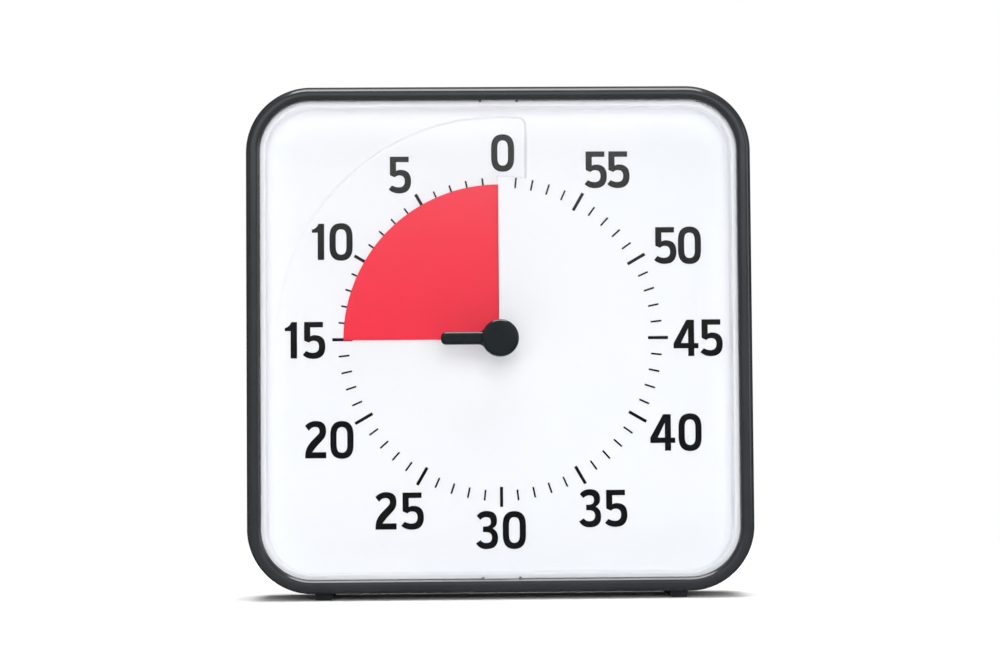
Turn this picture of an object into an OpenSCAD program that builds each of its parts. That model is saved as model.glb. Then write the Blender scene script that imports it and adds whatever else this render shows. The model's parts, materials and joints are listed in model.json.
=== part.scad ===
// Visual countdown timer: a square case in which a red disc shows the minutes that are left.
//
// World frame: +Z is up, the dial faces -Y, and the origin lies under the middle of the case
// at table height. The pieces are drawn in a dial frame: x to the right, y up, z toward the
// viewer, with its origin on the dial's axis at the front rim. A depth is counted from that
// rim backwards. A dial angle is counted anticlockwise from 12 o'clock, as the minutes are.

/* [Case] */
// Width and height of the case
case_w = 190.5; // [188:0.5:196]
// Radius of the case's outer corners
corner_r = 24.5; // [23:0.5:27]
// Depth of the case, from the front rim to the back
case_d = 39.2; // [39.2:0.2:41]
// Depth of the front bezel
bezel_d = 20; // [19:0.5:21]
// Width of the bezel's face, seen from the front
rim_w = 5.4; // [5:0.1:6]
// Wall thickness of the bezel
bezel_wall = 2.6; // [2.4:0.1:2.8]
// Wall thickness of the rear cover
cover_wall = 2.2; // [1.8:0.1:2.4]
// Radius of the rear cover's back edge
back_edge_r = 5; // [4:0.5:6]
// Distance of the case screws from the dial's axis, sideways and up
screw_at = 74; // [72:0.5:76]

/* [Lens] */
// How far the lens lies behind the front rim
lens_set_back = 1.2; // [1:0.1:1.5]
// Thickness of the lens's flange, which hooks behind the bezel's lip
lens_flange_t = 1.4; // [1.2:0.1:1.6]
// Width of the snap tab at the top and the bottom of the lens
tab_w = 12.8; // [10:0.2:16]

/* [Dial] */
// Depth of the white well, from its flange to the dial face
well_d = 7.2; // [7:0.1:8]
// Width of the white flange seen between the bezel and the well
well_border = 1.8; // [1.4:0.1:2.4]
// Thickness of the dial face
face_t = 1.8; // [1.6:0.1:2]
// Outer radius of the recess under the first minutes
recess_r = 85.3; // [83:0.1:85.5]
// Reach of the recess to the right of 12 o'clock
recess_right = 10.8; // [9:0.1:11.5]
// Height of the numerals
digit_h = 14.3; // [12:0.1:14.6]
// Width of a numeral's digit
digit_w = 8.6; // [8:0.1:8.6]
// Stroke width of the numerals
stroke = 2.5; // [2:0.1:2.6]
// Thickness of the printed marks and numerals
print_t = 0.1; // [0.05:0.01:0.15]

/* [Red disc] */
// Radius of the red disc
disc_r = 59.2; // [57:0.1:59.4]
// Thickness of the red sheet
sheet_t = 0.3; // [0.2:0.05:0.3]
// Rise of the red sheet in one turn
pitch = 7; // [6.8:0.1:7.2]
// Minutes shown
minutes = 15; // [0:5:60]

/* [Knob] */
// Diameter of the knob's head
knob_d = 14; // [12:0.5:16]
// How far the knob stands in front of the rim
knob_proud = 5.2; // [4:0.2:6]
// Distance of the pointer's tip from the axis
pointer_reach = 22.2; // [20:0.5:25]
// Width of the pointer
pointer_w = 4.8; // [4:0.2:5.4]
// Bevel on the knob's front edge
knob_bevel = 1; // [0.6:0.1:1.2]
// Diameter of the spindle
spindle_d = 4.4; // [4.2:0.1:4.6]

/* [Feet] */
// Height of the feet
foot_h = 2.5; // [2:0.1:3]
// Width of a foot
foot_w = 6.8; // [6:0.2:7]
// Length of a foot, front to back
foot_l = 10; // [8:0.5:11]
// Distance of the feet from the middle
foot_x = 66.7; // [60:0.1:67]

/* [Movement] */
// Width of the movement's case
move_w = 58; // [57:0.5:59]
// Height of the movement's case
move_h = 64; // [63:0.5:65]
// Wall thickness of the movement's case
move_wall = 1.4; // [1.2:0.1:1.5]
// Tooth module of the wheels, from the centre wheel to the rotor
modules = [0.4, 0.3, 0.25];
// Teeth of the wheels, from the centre wheel to the one at the rotor
wheel_teeth = [48, 48, 40];

/* [Battery] */
// Diameter of the cell
cell_d = 14.4; // [14:0.1:14.5]
// Length of the cell's body
cell_l = 49; // [48.5:0.1:49.2]
// Height of the cell's axis above the dial's axis
cell_y = -58; // [-60:0.5:-57]

/* [Hidden] */
$fn = 64;
eps = 0.01;

// Places of the whole
mid_depth = (case_d - knob_proud) / 2;
axis_z = foot_h + case_w / 2;
half = case_w / 2;

// Bezel and lens
lip_depth = 2.3;
lip_inner_r = 2;
opening_w = case_w - 2 * rim_w;
opening_r = corner_r - rim_w;
flange_w = case_w - 2 * bezel_wall - 0.4;
flange_r = corner_r - bezel_wall - 0.2;
lens_back = lip_depth + lens_flange_t;
lens_hole_r = spindle_d / 2 + 0.4;
tab_h = 0.4;
nib_r = 0.55;
tongue_l = 2;

// Keyhole: its place, the radius of its head, and the width and length of its slot
hang_y = 60;
hang_r = 4.5;
hang_slot_w = 4.5;
hang_drop = 10;

// Dial face
face_depth = lens_back + well_d;
well_w = opening_w - 2 * well_border;
well_r = opening_r - well_border;
well_wall = 1.6;
thin_face_t = 1;
slot_r = disc_r + 2.4;
slot_w = 0.6;
hub_hole_r = 5.6;
recess_d = 1.85;
recess_corner_r = 3;
recess_pad_t = 1.2;
recess_end = 360 * recess_d / pitch;
boss_depth = 22;

// Red disc: the sheet's middle lies this far behind the dial face at 12 o'clock
sheet_start = 1.45;
sheet_step = 5;
hub_r = 5;
shown = 6 * minutes;

// Marks: inner and outer radius, and width, of the single minutes and of every fifth
minor_mark = [57.6, 61.7, 0.65];
major_mark = [56.2, 63.8, 1.15];
// Centres of the numerals 0, 5, 10 ... 55, and the distance between the two digits of each
numeral_at = [
    [1.8, 71.3], [-37.5, 63], [-64.3, 37.5], [-74.7, 0.1], [-64.9, -37.7], [-38.4, -64.8],
    [-0.1, -72.3], [38.8, -64.4], [67, -35.8], [75.9, 0.1], [68.1, 35.4], [41.5, 64.5]
];
digit_pitch = [0, 0, 8.7, 8.7, 9.9, 10, 10.4, 9.9, 10.4, 9.7, 9.3, 8.7];
// Lift of a numeral over the recess's curved floor, and over the edge of its flat strip
slope_lift = 0.06;
step_lift = 0.09;

// Movement: depths of its plates, from front to back
move_front = 20.2;
move_plate = 1.6;
move_split = 31;
move_back = 36.6;
lug_at = [33, 26];
bush_r = 3.6;
pivot_hole_d = 1;
board_front = 30;
board_back = 31;
board_w = 54;
post_x = 22;
board_top = -6;
board_bottom = -30.2;
buzzer_at = [0, -18];
buzzer_r = 10;
rim_pin_x = 8.4;
switch_at = [18, -24];
switch_travel = 3;

// Gear train: teeth of every pinion, directions from one axis to the next, depths of the wheels
pinion_teeth = 8;
lean = [150, 60, 0];
centre_wheel_depth = 23;
second_wheel_depth = 25.4;
first_wheel_depth = 28;
magnet_depth = 30;
wheel_gap = [for (i = [0:2]) modules[i] * (wheel_teeth[i] + pinion_teeth) / 2];
second_at = wheel_gap[0] * [cos(lean[0]), sin(lean[0])];
first_at = second_at + wheel_gap[1] * [cos(lean[1]), sin(lean[1])];
rotor_at = first_at + wheel_gap[2] * [cos(lean[2]), sin(lean[2])];

// Coil, on the stator's upper legs
coil_y = 23;
coil_span = [-6.5, 14.5];
stator_depth = 31;
stator_t = 0.6;

// Battery bay, open to the back
door_t = 1.8;
bay_w = 60;
bay_h = 16.5;
bay_wall = 1.2;
bay_front = 21.8;
cell_depth = case_d - door_t - 0.6 - cell_d / 2;
cell_tip_x = 27.8;
cell_nub = 1.3;
contact_t = 0.4;
strip_x = 24;
strip_w = 3;

// Point on the dial at a radius and a dial angle
function on_dial(r, angle) = [-r * sin(angle), r * cos(angle)];
// Height of the recess's floor over the dial face at a dial angle
function floor_z(angle) = min(0, -recess_d + pitch * angle / 360);
// Height of the sheet's middle over the dial face at a dial angle
function sheet_z(angle) = -sheet_start + pitch * angle / 360;

module upright() {
    translate([0, -mid_depth, axis_z]) rotate([90, 0, 0]) children();
}

// A flat outline made solid between two depths
module slab(front, back) {
    translate([0, 0, -back]) linear_extrude(back - front) children();
}

module rod(r, front, back, at = [0, 0]) {
    translate([at[0], at[1], -back]) cylinder(r = r, h = back - front);
}

module round_rect(w, h, r) {
    square([w, h - 2 * r], center = true);
    square([w - 2 * r, h], center = true);
    for (x = [-1, 1], y = [-1, 1]) translate([x * (w / 2 - r), y * (h / 2 - r)]) circle(r);
}

module corners(x, y) {
    for (i = [-1, 1], j = [-1, 1]) translate([i * x, j * y, 0]) children();
}

// A profile carried round the case. Its x is the distance in from the outer wall, and its y
// the depth.
module around_case() {
    run = half - corner_r;
    for (k = [0:3]) rotate(90 * k) translate([run, run, 0]) {
        rotate_extrude(angle = 90) translate([corner_r, 0]) rotate(180) children();
        rotate([90, 0, 0]) linear_extrude(2 * run) translate([corner_r, 0]) rotate(180) children();
    }
}

// A quarter of a circle that fills the corner of its square at the origin
module quarter(r) {
    intersection() {
        translate([r, r]) circle(r);
        square(r);
    }
}

// A band of a screw surface between two radii, closed below and above by two height functions
module screw_band(radii, start, end, steps, low, high) {
    cols = len(radii);
    rows = steps + 1;
    function angle(i) = start + (end - start) * i / steps;
    function at(i, j) = i * cols + j;
    function top(i, j) = rows * cols + at(i, j);
    points = [
        for (level = [low, high], i = [0:steps], r = radii)
            concat(on_dial(r, angle(i)), [level(angle(i))])
    ];
    faces = [
        for (i = [0:steps - 1], j = [0:cols - 2]) each [
            [top(i, j), top(i + 1, j), top(i + 1, j + 1)],
            [top(i, j), top(i + 1, j + 1), top(i, j + 1)],
            [at(i, j), at(i + 1, j + 1), at(i + 1, j)],
            [at(i, j), at(i, j + 1), at(i + 1, j + 1)]
        ],
        for (i = [0:steps - 1]) each [
            [at(i, 0), at(i + 1, 0), top(i + 1, 0), top(i, 0)],
            [at(i, cols - 1), top(i, cols - 1), top(i + 1, cols - 1), at(i + 1, cols - 1)]
        ],
        for (j = [0:cols - 2]) each [
            [at(0, j), top(0, j), top(0, j + 1), at(0, j + 1)],
            [at(steps, j), at(steps, j + 1), top(steps, j + 1), top(steps, j)]
        ]
    ];
    polyhedron(points, faces);
}

// Case

module bezel_profile() {
    quarter(bezel_wall);
    translate([0, bezel_wall]) square([bezel_wall, bezel_d - bezel_wall]);
    translate([bezel_wall - eps, 0]) square([rim_w - lip_inner_r - bezel_wall + 2 * eps, lip_depth]);
    translate([rim_w, 0]) mirror([1, 0]) quarter(lip_inner_r);
    translate([rim_w - lip_inner_r, lip_inner_r - eps]) square([lip_inner_r, lip_depth - lip_inner_r + eps]);
}

module front_bezel() {
    color("#3a3c40") upright() difference() {
        union() {
            around_case() bezel_profile();
            for (x = [-1, 1], y = [-1, 1])
                rod(nib_r, lens_set_back - 0.6, lens_set_back, [x * (tab_w / 2 + nib_r), y * opening_w / 2]);
        }
        for (y = [-1, 1]) translate([0, y * opening_w / 2, 0])
            slab(-eps, lip_depth + eps) square([tab_w, 2 * tab_h], center = true);
    }
}

module clear_lens() {
    color("#e8f0f4", 0.3) upright() difference() {
        union() {
            slab(lens_set_back, lip_depth) {
                round_rect(opening_w - 0.16, opening_w - 0.16, opening_r - 0.08);
                square([tab_w - 0.2, opening_w + 2 * tab_h - 0.16], center = true);
            }
            slab(lip_depth, lens_back) round_rect(flange_w, flange_w, flange_r);
        }
        rod(lens_hole_r, lens_set_back - eps, lens_back + eps);
    }
}

module cover_edge(r) {
    translate([back_edge_r - r, 0]) mirror([0, 1]) quarter(r);
}

// The rear cover's outline, in by a margin, with its rounded back edge
module cover_body(margin, front) {
    edge_r = back_edge_r - margin;
    edge_depth = case_d - back_edge_r;
    side = case_w - 2 * margin;
    inner = case_w - 2 * back_edge_r;
    slab(front, edge_depth) round_rect(side, side, corner_r - margin);
    slab(edge_depth - eps, case_d - margin) round_rect(inner, inner, corner_r - back_edge_r);
    translate([0, 0, -case_d + margin]) around_case() cover_edge(edge_r);
}

// The case's outline, in by a margin
module ring_fill(margin) {
    round_rect(case_w - 2 * margin, case_w - 2 * margin, corner_r - margin);
}

module keyhole() {
    circle(hang_r);
    translate([-hang_slot_w / 2, 0]) square([hang_slot_w, hang_drop]);
    translate([0, hang_drop]) circle(hang_slot_w / 2);
}

module sound_holes(front, back) {
    rod(1, front, back, buzzer_at);
    for (k = [0:5]) rod(1, front, back, buzzer_at + 3.6 * [cos(60 * k), sin(60 * k)]);
}

module bay_block(grow, front, back) {
    translate([0, cell_y, 0]) slab(front, back) square([bay_w + 2 * grow, bay_h + 2 * grow], center = true);
}

// Slots through which the contact strips leave the bay and enter the movement
module strip_slots(y, length) {
    width = strip_w + 2.2;
    for (x = [-1, 1]) translate([x * (strip_x + strip_w / 2 + 0.7), y, 0])
        slab(board_front - contact_t - 0.2, board_front + 0.2) square([width, length], center = true);
}

module rear_cover() {
    inside_back = case_d - cover_wall;
    color("#36383c") upright() difference() {
        union() {
            difference() {
                cover_body(0, bezel_d);
                cover_body(cover_wall, bezel_d - eps);
            }
            difference() {
                union() {
                    slab(bezel_d - tongue_l, bezel_d + 2) ring_fill(bezel_wall + 0.15);
                    slab(bezel_d, bezel_d + 2) ring_fill(cover_wall - eps);
                }
                slab(bezel_d - tongue_l - eps, bezel_d + 2 + eps) ring_fill(bezel_wall + 1.3);
            }
            corners(screw_at, screw_at) rod(4.2, boss_depth, inside_back + eps);
            corners(lug_at[0], lug_at[1]) rod(3.2, move_split + 2, inside_back + eps);
            bay_block(bay_wall, bay_front - bay_wall, inside_back + eps);
        }
        corners(screw_at, screw_at) {
            rod(1.7, boss_depth - eps, case_d);
            rod(3.2, case_d - 8, case_d + eps);
        }
        corners(lug_at[0], lug_at[1]) rod(1, move_split + 1.9, inside_back - 0.4);
        bay_block(0, bay_front, case_d + eps);
        translate([0, cell_y, 0]) slab(case_d - door_t, case_d + eps)
            round_rect(bay_w + 4, bay_h + 3.1, 2.2);
        strip_slots(cell_y + bay_h / 2 + bay_wall / 2, 2 * bay_wall);
        translate([0, hang_y, 0]) slab(inside_back - eps, case_d + eps) keyhole();
        sound_holes(inside_back - eps, case_d + eps);
        translate([switch_at[0], switch_at[1], 0]) {
            slab(inside_back - eps, case_d) square([5.8, 2.6], center = true);
            slab(case_d - 1, case_d + eps) round_rect(10, 5, 1);
        }
    }
}

module pan_screw(r, head_r, head_h, length) {
    difference() {
        union() {
            rotate_extrude() intersection() {
                translate([0, head_h - 1.6 * head_r]) circle(1.6 * head_r);
                square([head_r, head_h]);
            }
            translate([0, 0, -length]) cylinder(r = r, h = length + eps);
        }
        for (a = [0, 90]) rotate(a) translate([0, 0, head_h]) cube([1.3 * head_r, 0.5, 1.6], center = true);
    }
}

module case_screws() {
    color("#b9bcc0") upright() corners(screw_at, screw_at)
        translate([0, 0, -case_d + 8]) rotate([180, 0, 0]) pan_screw(1.4, 2.8, 2, case_d - 8 - 15);
}

module foot_outline() {
    r = 1;
    translate([-foot_w / 2, -foot_h + r]) square([foot_w, foot_h - r]);
    translate([-foot_w / 2 + r, -foot_h]) square([foot_w - 2 * r, r + eps]);
    for (x = [-1, 1]) translate([x * (foot_w / 2 - r), -foot_h + r]) circle(r);
}

module rubber_feet() {
    color("#1c1d1f") upright() for (x = [-1, 1], front = [4.5, case_d - back_edge_r - foot_l])
        translate([x * foot_x, -half, 0]) slab(front, front + foot_l) foot_outline();
}

// Dial

// Outline of the recess to the right of 12 o'clock
module recess_strip(grow = 0) {
    r = recess_corner_r;
    right = recess_right + grow;
    outer = recess_r + grow;
    corner_x = right - r;
    corner_y = sqrt(pow(outer - r, 2) - pow(corner_x, 2));
    difference() {
        union() {
            intersection() {
                circle(outer);
                translate([-1.5 * slot_w, 0]) square([corner_x + 1.5 * slot_w, outer]);
            }
            square([right, corner_y]);
            translate([corner_x, corner_y]) circle(r);
        }
        circle(slot_r - grow);
    }
}

// A sector of the dial, from 12 o'clock to a dial angle
module sector(r, end) {
    intersection() {
        circle(r);
        polygon(concat([[0, 0]], [for (a = [0:end / 4:end]) on_dial(2 * r, a)]));
    }
}

module recess_cut() {
    radii = [3, 5, 9, 16, 29, 52, recess_r + 2];
    intersection() {
        translate([0, 0, -face_depth]) screw_band(
            radii, asin(slot_w / slot_r) / 2, recess_end, 32,
            function(a) floor_z(a), function(a) 1
        );
        rod(recess_r, face_depth - 2, face_depth + 3);
    }
    slab(face_depth - 1, face_depth + recess_d) recess_strip();
}

module dial_face() {
    color("#f6f8fb") upright() difference() {
        union() {
            difference() {
                union() {
                    slab(lens_back, lens_back + well_wall) round_rect(flange_w, flange_w, flange_r);
                    slab(lens_back, face_depth + face_t)
                        round_rect(well_w + 2 * well_wall, well_w + 2 * well_wall, well_r + well_wall);
                }
                slab(lens_back - eps, face_depth) round_rect(well_w, well_w, well_r);
                rod(slot_r, face_depth + thin_face_t, face_depth + face_t + eps);
            }
            slab(face_depth + thin_face_t - eps, face_depth + recess_d + recess_pad_t)
                sector(recess_r + recess_pad_t, recess_end);
            slab(face_depth + thin_face_t - eps, face_depth + recess_d + recess_pad_t)
                recess_strip(recess_pad_t);
            corners(screw_at, screw_at) rod(4, face_depth + face_t - eps, boss_depth);
        }
        recess_cut();
        rod(hub_hole_r, face_depth - 1, face_depth + 5);
        translate([-slot_w, 0, 0]) slab(face_depth - 1, face_depth + 5) square([slot_w, slot_r + slot_w]);
        corners(screw_at, screw_at) rod(1.5, boss_depth - 7.5, boss_depth + eps);
    }
}

// Turns and lifts a print onto the dial at a dial angle, on the recess's floor where there is one
module print_at(angle, lift = 0.02) {
    rise = floor_z(angle);
    translate([0, 0, -face_depth + rise + (rise < 0 ? lift : 0)]) children();
}

module minute_marks() {
    color("#1d1e20") upright() for (m = [1:59]) {
        mark = m % 5 == 0 ? major_mark : minor_mark;
        print_at(6 * m) rotate(6 * m) translate([-mark[2] / 2, mark[0], 0])
            cube([mark[2], mark[1] - mark[0], print_t]);
    }
}

// Digits: half their height is h, half their width w, and a stroke is s wide

module bar(from, to, s) {
    run = to - from;
    translate(from) rotate(atan2(run[1], run[0])) translate([0, -s / 2]) square([norm(run), s]);
}

// A ring's stretch between two angles counted from the right
module bow(at, r, s, start, end) {
    steps = 4;
    translate(at) intersection() {
        difference() {
            circle(r);
            circle(r - s);
        }
        polygon(concat(
            [[0, 0]],
            [for (k = [0:steps]) let (a = start + (end - start) * k / steps) 3 * r * [cos(a), sin(a)]]
        ));
    }
}

module digit_0(h, w, s) {
    difference() {
        union() {
            for (y = [-1, 1]) translate([0, y * (h - w)]) circle(w);
            square([2 * w, 2 * (h - w)], center = true);
        }
        for (y = [-1, 1]) translate([0, y * (h - w)]) circle(w - s);
        square([2 * (w - s), 2 * (h - w)], center = true);
    }
}

module digit_1(h, w, s) {
    translate([0, -h]) square([s, 2 * h]);
    polygon([[0.1, h], [-0.52 * w, h - 0.42 * w], [-0.52 * w, h - 0.95 * w], [0.1, h - 0.6 * w]]);
}

module digit_2(h, w, s) {
    top = h - w;
    foot = -h + s;
    bow([0, top], w, s, -30, 172);
    polygon([
        [w * cos(-28), top + w * sin(-28)], [(w - s) * cos(-28), top + (w - s) * sin(-28)],
        [-w, foot + 0.1], [-w, -h], [-w + 1.2 * s, foot - 0.1]
    ]);
    translate([-w, -h]) square([2 * w, s]);
}

module digit_3(h, w, s) {
    upper = 0.9 * w;
    lower = h - upper + s / 2;
    bow([-0.08 * w, h - upper], upper, s, -84, 160);
    bow([0, -h + w], w, s, -165, 80);
    translate([-0.35 * w, h - 2 * upper]) square([0.45 * w, s]);
}

module digit_4(h, w, s) {
    beam = -h + 0.38 * h;
    translate([0.22 * w, -h]) square([s, 2 * h]);
    translate([-w, beam]) square([2 * w, s]);
    polygon([[0.22 * w, h], [0.22 * w + 0.1, h], [0.22 * w + 0.1, h - 1.5 * s],
        [-w + 1.15 * s, beam + 0.9 * s], [-w, beam + 0.9 * s]]);
}

module digit_5(h, w, s) {
    bow([0, -h + w], w, s, -160, 142);
    translate([-0.88 * w, h - s]) square([1.78 * w, s]);
    polygon([[-0.88 * w, h], [-0.88 * w + s, h], [-0.92 * w + s, 0.02 * h], [-w, -0.1 * h]]);
}

module digit(d, h, w, s) {
    if (d == 0) digit_0(h, w, s);
    if (d == 1) digit_1(h, w, s);
    if (d == 2) digit_2(h, w, s);
    if (d == 3) digit_3(h, w, s);
    if (d == 4) digit_4(h, w, s);
    if (d == 5) digit_5(h, w, s);
}

module numeral(value) {
    tens = floor(value / 10);
    shift = digit_pitch[value / 5] / 2;
    translate([shift, 0]) digit(value % 10, digit_h / 2, digit_w / 2, stroke);
    if (value >= 10) translate([-shift, 0]) digit(tens, digit_h / 2, digit_w / 2, stroke);
}

module dial_numerals() {
    color("#222326") upright() for (i = [0:11]) {
        at = numeral_at[i];
        angle = atan2(-at[0], at[1]);
        in_recess = angle >= -1 && angle < 92;
        turned = max(0, angle);
        slope = in_recess && i > 0 ? atan(pitch / 360 * 180 / PI / norm(at)) : 0;
        depth = face_depth - (in_recess ? floor_z(turned) + (i > 0 ? slope_lift : step_lift) : 0);
        translate([at[0], at[1], -depth]) rotate(a = slope, v = [at[0], at[1], 0])
            linear_extrude(print_t) numeral(5 * i);
    }
}

// Red disc, its hub and the knob

module red_disc() {
    radii = [hub_r, 10, 20, 37, disc_r];
    color("#f2394a") upright() translate([0, 0, -face_depth]) screw_band(
        radii, shown - 360, shown, 360 / sheet_step,
        function(a) sheet_z(a) - sheet_t / 2, function(a) sheet_z(a) + sheet_t / 2
    );
}

module disc_hub() {
    front = face_depth - sheet_z(shown) - 0.4;
    back = face_depth - sheet_z(shown - 360) + 0.4;
    bore = spindle_d / 2;
    color("#e9ebee") upright() difference() {
        rod(hub_r, front, back);
        rod(bore + 0.1, front - eps, back + eps);
        translate([0, bore, 0]) slab(front - eps, back + eps) square([1.5, 2.2], center = true);
    }
}

module spindle_shaft() {
    r = spindle_d / 2;
    color("#c4c8cc") upright() {
        rod(r, 2.2 - knob_proud, 26);
        rod(1.2, 26 - eps, move_back - 0.7);
        translate([0, r, 0]) slab(lens_back + 1.5, move_front - 0.3) square([1.2, 1.7], center = true);
    }
}

// Half of an upright section, out to a distance, with a rounded front edge
module rounded_edge(reach, bevel, height) {
    square([reach - bevel, height]);
    translate([reach - bevel, 0]) square([bevel, height - bevel]);
    translate([reach, height]) rotate(180) quarter(bevel);
}

module pointer(height) {
    w = pointer_w / 2;
    tip_r = 1.9;
    tip_x = -pointer_reach + tip_r;
    rotate([90, 0, -90]) linear_extrude(-tip_x) for (side = [0, 1])
        mirror([side, 0]) rounded_edge(w, knob_bevel, height);
    for (y = [-1, 1]) translate([tip_x, y * (w - tip_r), 0])
        rotate_extrude() rounded_edge(tip_r, knob_bevel, height);
    translate([tip_x, tip_r - w, 0]) rotate([90, 0, 0]) mirror([1, 0, 0])
        translate([0, 0, 2 * (tip_r - w)]) linear_extrude(2 * (w - tip_r)) rounded_edge(tip_r, knob_bevel, height);
}

// The fillets where the pointer grows out of the head
module flare(height) {
    flare_r = 2.2;
    flare_y = pointer_w / 2 + flare_r;
    flare_x = -sqrt(pow(knob_d / 2 + flare_r, 2) - pow(flare_y, 2));
    touch = knob_d / 2 / (knob_d / 2 + flare_r);
    linear_extrude(height - 0.5) for (side = [-1, 1]) difference() {
        polygon([[flare_x, 0], [flare_x, side * (flare_y - flare_r)],
            [flare_x * touch, side * flare_y * touch], [0, 0]]);
        translate([flare_x, side * flare_y]) circle(flare_r);
    }
}

module setting_knob() {
    back = lens_set_back - 0.5;
    height = back + knob_proud;
    color("#2b2d30") upright() difference() {
        translate([0, 0, -back]) {
            rotate_extrude() rounded_edge(knob_d / 2, knob_bevel, height);
            pointer(height - 1.2);
            flare(height - 1.2);
        }
        rod(spindle_d / 2, 2.2 - knob_proud, back + eps);
    }
}

// Movement

module gear_outline(teeth, m) {
    pitch_r = teeth * m / 2;
    tip_r = pitch_r + 0.95 * m;
    root_r = pitch_r - 1.25 * m;
    tooth = 360 / teeth;
    polygon([
        for (k = [0:teeth - 1]) each [
            for (corner = [[root_r, -0.29], [tip_r, -0.09], [tip_r, 0.09], [root_r, 0.29]])
                corner[0] * [cos(tooth * (k + corner[1])), sin(tooth * (k + corner[1]))]
        ]
    ]);
}

// A wheel whose tooth points at an angle
module toothed(teeth, m, front, back, angle) {
    slab(front, back) rotate(angle) gear_outline(teeth, m);
}

// A pinion that meshes with a wheel lying at an angle behind it
module pinion(stage, front, back) {
    toothed(pinion_teeth, modules[stage], front, back, lean[stage] + 180 + 180 / pinion_teeth);
}

module centre_wheel() {
    color("#d8b45a") upright() difference() {
        union() {
            toothed(wheel_teeth[0], modules[0], centre_wheel_depth, centre_wheel_depth + 1, lean[0]);
            rod(4, centre_wheel_depth, centre_wheel_depth + 1.2);
        }
        rod(spindle_d / 2, centre_wheel_depth - eps, centre_wheel_depth + 2);
        for (k = [0:3]) rod(1.4, centre_wheel_depth - eps, centre_wheel_depth + 2, 6.2 * [cos(90 * k + 45), sin(90 * k + 45)]);
    }
}

// A bowed washer that presses the centre wheel against its shoulder
module clutch_spring() {
    front = centre_wheel_depth + 1.2;
    color("#c9a24a") upright() translate([0, 0, -front]) rotate_extrude()
        polygon([[spindle_d / 2, -0.5], [3.6, 0], [3.6, -0.25], [spindle_d / 2, -0.75]]);
}

module retaining_ring() {
    front = centre_wheel_depth + 1.2 + 0.75;
    color("#8d9196") upright() difference() {
        rod(3.3, front, front + 0.6);
        rod(spindle_d / 2, front - eps, front + 0.6 + eps);
        translate([2, 0, 0]) slab(front - eps, front + 0.6 + eps) square([4, 1.6], center = true);
    }
}

// A wheel and its pinion on one arbor
module wheel_pair(at, stage, wheel_depth, wheel_t, pinion_depth, pinion_t) {
    translate([at[0], at[1], 0]) {
        toothed(wheel_teeth[stage], modules[stage], wheel_depth, wheel_depth + wheel_t, lean[stage]);
        pinion(stage - 1, pinion_depth, pinion_depth + pinion_t);
        rod(modules[stage - 1] * 2.4, pinion_depth, wheel_depth + wheel_t + 0.4);
        rod(0.5, move_front + 0.8, move_back - 0.8);
    }
}

module second_wheel() {
    color("#e6e0cf") upright() wheel_pair(
        second_at, 1, second_wheel_depth, 0.8, centre_wheel_depth - 0.3, 1.6
    );
}

module first_wheel() {
    color("#e6e0cf") upright() wheel_pair(
        first_at, 2, first_wheel_depth, 0.7, second_wheel_depth - 0.4, 1.6
    );
}

module rotor_pinion() {
    color("#d9dde0") upright() translate([rotor_at[0], rotor_at[1], 0]) {
        pinion(2, first_wheel_depth - 0.4, first_wheel_depth + 1.2);
        rod(0.4, move_front + 0.8, move_back - 0.8);
        rod(1.2, first_wheel_depth + 1.2 - eps, magnet_depth + 2.6);
    }
}

module rotor_magnet() {
    color("#55585c") upright() difference() {
        rod(3, magnet_depth, magnet_depth + 2.6, rotor_at);
        rod(1.2, magnet_depth - eps, magnet_depth + 3, rotor_at);
    }
}

module stator_plate() {
    left = coil_span[0] - 4.5;
    right = coil_span[1] + 4.5;
    color("#9a9da2") upright() difference() {
        slab(stator_depth, stator_depth + stator_t) {
            translate([left, rotor_at[1] - 4.8]) square([right - left, 9.6]);
            for (x = [left, right - 3.5]) translate([x, rotor_at[1]]) square([3.5, coil_y + 3 - rotor_at[1]]);
            translate([left, coil_y - 1.5]) square([right - left, 3]);
        }
        rod(3.5, stator_depth - eps, stator_depth + 1, rotor_at);
        rod(1.2, stator_depth - eps, stator_depth + 1, first_at);
    }
}

// A round piece on the coil's axis, between two places along it
module on_coil(r, from, to) {
    translate([from, coil_y, -stator_depth - stator_t / 2]) rotate([0, 90, 0]) cylinder(r = r, h = to - from);
}

module coil_bobbin() {
    color("#e4e6e8") upright() difference() {
        union() {
            on_coil(2.2, coil_span[0], coil_span[1]);
            for (x = [coil_span[0], coil_span[1] - 1]) on_coil(3.4, x, x + 1);
        }
        slab(stator_depth, stator_depth + stator_t) translate([coil_span[0] - 1, coil_y - 1.5]) square([30, 3]);
    }
}

module coil_winding() {
    color("#b5652a") upright() difference() {
        on_coil(3.1, coil_span[0] + 1, coil_span[1] - 1);
        on_coil(2.2, coil_span[0], coil_span[1]);
    }
}

module arbor_holes(front, back) {
    rod(0.55, front, back, second_at);
    rod(0.55, front, back, first_at);
    rod(0.45, front, back, rotor_at);
}

module lugs(front, back) {
    for (x = [-1, 1], y = [-1, 1]) {
        rod(3.2, front, back, [x * lug_at[0], y * lug_at[1]]);
        translate([x * (lug_at[0] - 2.5), y * lug_at[1], 0]) slab(front, back) square([5, 6.4], center = true);
    }
}

module lug_holes(r) {
    corners(lug_at[0], lug_at[1]) rod(r, move_split - 3, move_split + 3);
}

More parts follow.
